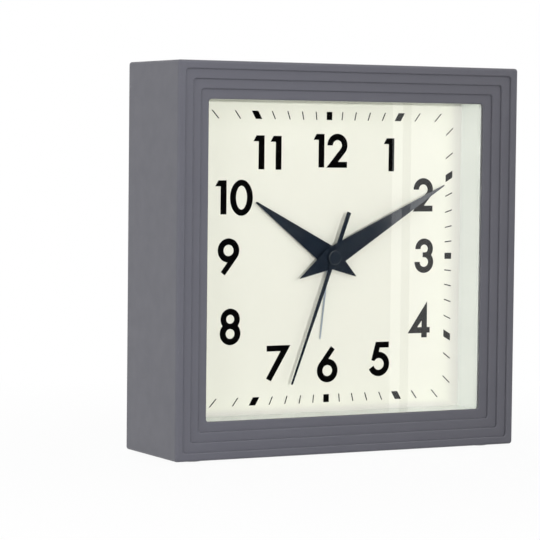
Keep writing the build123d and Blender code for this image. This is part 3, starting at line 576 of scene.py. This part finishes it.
def flat_print(name, outlines):
    """Thin ink on the dial from closed outlines; an outline inside another is a hole."""
    curve = bpy.data.curves.new(name, "CURVE")
    curve.dimensions = "2D"
    curve.fill_mode = "BOTH"
    curve.extrude = INK_DEPTH * MM / 2
    for outline in outlines:
        spline = curve.splines.new("POLY")
        spline.points.add(len(outline) - 1)
        for point, (x, y) in zip(spline.points, outline):
            point.co = (x * MM, y * MM, 0.0, 1.0)
        spline.use_cyclic_u = True
    drawn = bpy.data.objects.new(name + "_outline", curve)
    bpy.context.collection.objects.link(drawn)
    bpy.context.view_layer.update()
    mesh = bpy.data.meshes.new_from_object(drawn.evaluated_get(bpy.context.evaluated_depsgraph_get()))
    bpy.data.objects.remove(drawn)
    bpy.data.curves.remove(curve)
    middle_y = DIAL_Y - INK_DEPTH * MM / 2
    mesh.transform(Matrix(((1, 0, 0, 0), (0, 0, -1, middle_y), (0, 1, 0, AXIS_Z), (0, 0, 0, 1))))
    mesh.name = name
    mesh.materials.clear()
    mesh.materials.append(dial_ink.material)
    piece = bpy.data.objects.new(name, mesh)
    bpy.context.collection.objects.link(piece)
    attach(piece, "case")


for hour, glyphs in FIGURES.items():
    outlines = []
    for glyph, shift in glyphs:
        body, *holes = glyph()
        grown = [swollen(body, INK_SPREAD)] + [swollen(hole, -INK_SPREAD) for hole in holes]
        outlines += [[(x + shift[0], y + shift[1]) for x, y in outline] for outline in grown]
    flat_print(f"figure_{hour}", outlines)

# Square track: half its inner and outer width, its centre, and the widths of its marks
TRACK_INNER = 64.6
TRACK_OUTER = 68.4
TRACK_CENTRE = (-0.1, -0.22)
TICK_WIDTH = 0.52
BLOCK_WIDTH = 2.95
MINUTES = 60
MINUTES_PER_HOUR_MARK = 5
MINUTES_PER_SIDE = 15


def track_mark(minute, width):
    """Mark on the square track that points at the centre, as four corners."""
    half_side = MINUTES_PER_SIDE / 2
    quarter, step = divmod(minute + half_side, MINUTES_PER_SIDE)
    lean = math.tau * (step - half_side) / MINUTES
    side = width / 2 / math.cos(lean)
    corners = [
        (half * math.tan(lean) + reach, half)
        for half, reach in (
            (TRACK_INNER, -side), (TRACK_INNER, side), (TRACK_OUTER, side), (TRACK_OUTER, -side),
        )
    ]
    turn = -math.radians(90 * quarter)
    return [
        (
            TRACK_CENTRE[0] + x * math.cos(turn) - y * math.sin(turn),
            TRACK_CENTRE[1] + x * math.sin(turn) + y * math.cos(turn),
        )
        for x, y in corners
    ]


hour_minutes = range(0, MINUTES, MINUTES_PER_HOUR_MARK)
flat_print("hour_blocks", [track_mark(minute, BLOCK_WIDTH) for minute in hour_minutes])
flat_print(
    "minute_ticks",
    [track_mark(minute, TICK_WIDTH) for minute in range(MINUTES) if minute not in hour_minutes],
)


# Stage: a pale floor that reads white, soft lamps, and the photo's camera

FLOOR_HALF = 4.0

# Share of white glow beside the clock, and the distances over which it grows to all
NEAR_GLOW = 0.95
GLOW_REACH = (0.12, 0.36)


def floor_shade():
    """Pale grey that glows white for the camera and keeps a faint shadow of the clock."""
    shade = Shade("floor", Roughness=0.9)
    tone = shade.noise(scale=6)
    shade.colour(tone, (NOISE_LOW, (0.88, 0.88, 0.88)), (NOISE_HIGH, (0.9, 0.9, 0.9)))
    glow = shade.add("ShaderNodeEmission", {"Strength": 1.0})
    away = shade.add("ShaderNodeVectorMath", operation="LENGTH")
    shade.link(shade.place, away.inputs[0])
    share = shade.span(away.outputs["Value"], *GLOW_REACH, low=NEAR_GLOW)
    path = shade.add("ShaderNodeLightPath")
    mix = shade.add("ShaderNodeMixShader")
    shade.link(shade.combine("MULTIPLY", share, path.outputs["Is Camera Ray"]), mix.inputs["Fac"])
    shade.link(shade.shader.outputs["BSDF"], mix.inputs[1])
    shade.link(glow.outputs["Emission"], mix.inputs[2])
    shade.link(mix.outputs["Shader"], shade.output.inputs["Surface"])
    return shade


def pale_floor():
    mesh = bpy.data.meshes.new("floor")
    shape = bmesh.new()
    bmesh.ops.create_grid(shape, x_segments=1, y_segments=1, size=FLOOR_HALF)
    shape.to_mesh(mesh)
    shape.free()
    mesh.materials.append(floor_shade().material)
    floor = bpy.data.objects.new("floor", mesh)
    bpy.context.collection.objects.link(floor)
    floor.visible_glossy = False


pale_floor()

# Strength of the even light from all round
SOFT_LIGHT = 0.38

# Bright upright bands that the glass mirrors, by where their edges show on the glass, in millimetres
SLOT = (23.5, 29.05)
STRIP = (33.65, 76.0)
BAND_LEVEL = 0.92

# Rise of a mirrored sight line per length forwards: the bands' two ends, and where the ceiling starts
BAND_RISE = (-0.14, 0.04)
CEILING_RISE = 0.6

# Least length forwards, so that slopes stay finite
LEAST_FRONT = 0.0001


def sight_slope(x):
    """Sideways slope of the mirrored sight line at a place on the glass."""
    return (x * MM - CAMERA_PLACE.x) / (GLASS_Y - CAMERA_PLACE.y)


def studio_world():
    """Even soft light. Mirrors see a dark front with two bright bands, and white elsewhere."""
    world = bpy.data.worlds.new("studio")
    bpy.context.scene.world = world
    world.use_nodes = True
    tree = world.node_tree
    combine = functools.partial(math_node, tree)

    def between(value, low, high):
        over = combine("GREATER_THAN", value, low)
        under = combine("LESS_THAN", value, high)
        return combine("MULTIPLY", over, under)

    place = tree.nodes.new("ShaderNodeTexCoord")
    split = tree.nodes.new("ShaderNodeSeparateXYZ")
    tree.links.new(place.outputs["Generated"], split.inputs["Vector"])
    front = combine("MAXIMUM", combine("MULTIPLY", split.outputs["Y"], -1.0), LEAST_FRONT)
    slope = combine("DIVIDE", split.outputs["X"], front)
    rise = combine("DIVIDE", split.outputs["Z"], front)
    slot = between(slope, *map(sight_slope, SLOT))
    strip = between(slope, *map(sight_slope, STRIP))
    bands = combine("MULTIPLY", combine("MAXIMUM", slot, strip), between(rise, *BAND_RISE))
    dimmed_bands = combine("MULTIPLY", bands, BAND_LEVEL)
    behind = combine("GREATER_THAN", split.outputs["Y"], 0.0)
    above = combine("GREATER_THAN", rise, CEILING_RISE)
    bright = combine("MAXIMUM", dimmed_bands, combine("MAXIMUM", behind, above))
    path = tree.nodes.new("ShaderNodeLightPath")
    seen = combine("MAXIMUM", path.outputs["Is Camera Ray"], path.outputs["Is Transmission Ray"])
    mirrored = combine("MULTIPLY", path.outputs["Is Glossy Ray"], bright)
    soft = tree.nodes["Background"]
    soft.inputs["Color"].default_value = (*WHITE, 1.0)
    soft.inputs["Strength"].default_value = SOFT_LIGHT
    shown = tree.nodes.new("ShaderNodeBackground")
    shown.inputs["Color"].default_value = (*WHITE, 1.0)
    tree.links.new(combine("MAXIMUM", seen, mirrored), shown.inputs["Strength"])
    choice = tree.nodes.new("ShaderNodeMixShader")
    tree.links.new(combine("MAXIMUM", seen, path.outputs["Is Glossy Ray"]), choice.inputs["Fac"])
    tree.links.new(soft.outputs["Background"], choice.inputs[1])
    tree.links.new(shown.outputs["Background"], choice.inputs[2])
    tree.links.new(choice.outputs["Shader"], tree.nodes["World Output"].inputs["Surface"])


studio_world()

LAMP_TARGET = Vector((0.0, -0.025, AXIS_Z))


def soft_lamp(name, place, size, power):
    """Square soft lamp aimed at the clock."""
    data = bpy.data.lights.new(name, "AREA")
    data.size = size
    data.energy = power
    lamp = bpy.data.objects.new(name, data)
    bpy.context.collection.objects.link(lamp)
    lamp.location = place
    lamp.visible_glossy = False
    lamp.rotation_mode = "QUATERNION"
    lamp.rotation_quaternion = (LAMP_TARGET - Vector(place)).to_track_quat("-Z", "Y")


soft_lamp("key_lamp", place=(-0.74, -3.0, 0.3), size=0.1, power=50.0)
soft_lamp("right_lamp", place=(1.0, -2.7, 1.2), size=1.5, power=14.5)
soft_lamp("left_lamp", place=(-1.4, -0.9, 0.4), size=1.0, power=6.0)
soft_lamp("rear_lamp", place=(0.5, 2.6, 0.9), size=1.2, power=44.0)


def photo_camera():
    """Camera at the photo's viewing angle."""
    data = bpy.data.cameras.new("photo_camera")
    data.sensor_width = SENSOR_WIDTH
    data.lens = CAMERA_LENS
    camera = bpy.data.objects.new("photo_camera", data)
    bpy.context.collection.objects.link(camera)
    back = Vector(
        (
            math.sin(CAMERA_AZIMUTH) * math.cos(CAMERA_ELEVATION),
            -math.cos(CAMERA_AZIMUTH) * math.cos(CAMERA_ELEVATION),
            math.sin(CAMERA_ELEVATION),
        )
    )
    level_right = (-back).cross(Vector((0, 0, 1))).normalized()
    level_up = level_right.cross(-back)
    right = math.cos(CAMERA_ROLL) * level_right + math.sin(CAMERA_ROLL) * level_up
    up = -math.sin(CAMERA_ROLL) * level_right + math.cos(CAMERA_ROLL) * level_up
    turned = Matrix((right, up, back)).transposed().to_4x4()
    camera.matrix_world = Matrix.Translation(CAMERA_PLACE) @ turned
    bpy.context.scene.camera = camera


photo_camera()
bpy.context.scene.view_settings.view_transform = "Standard"
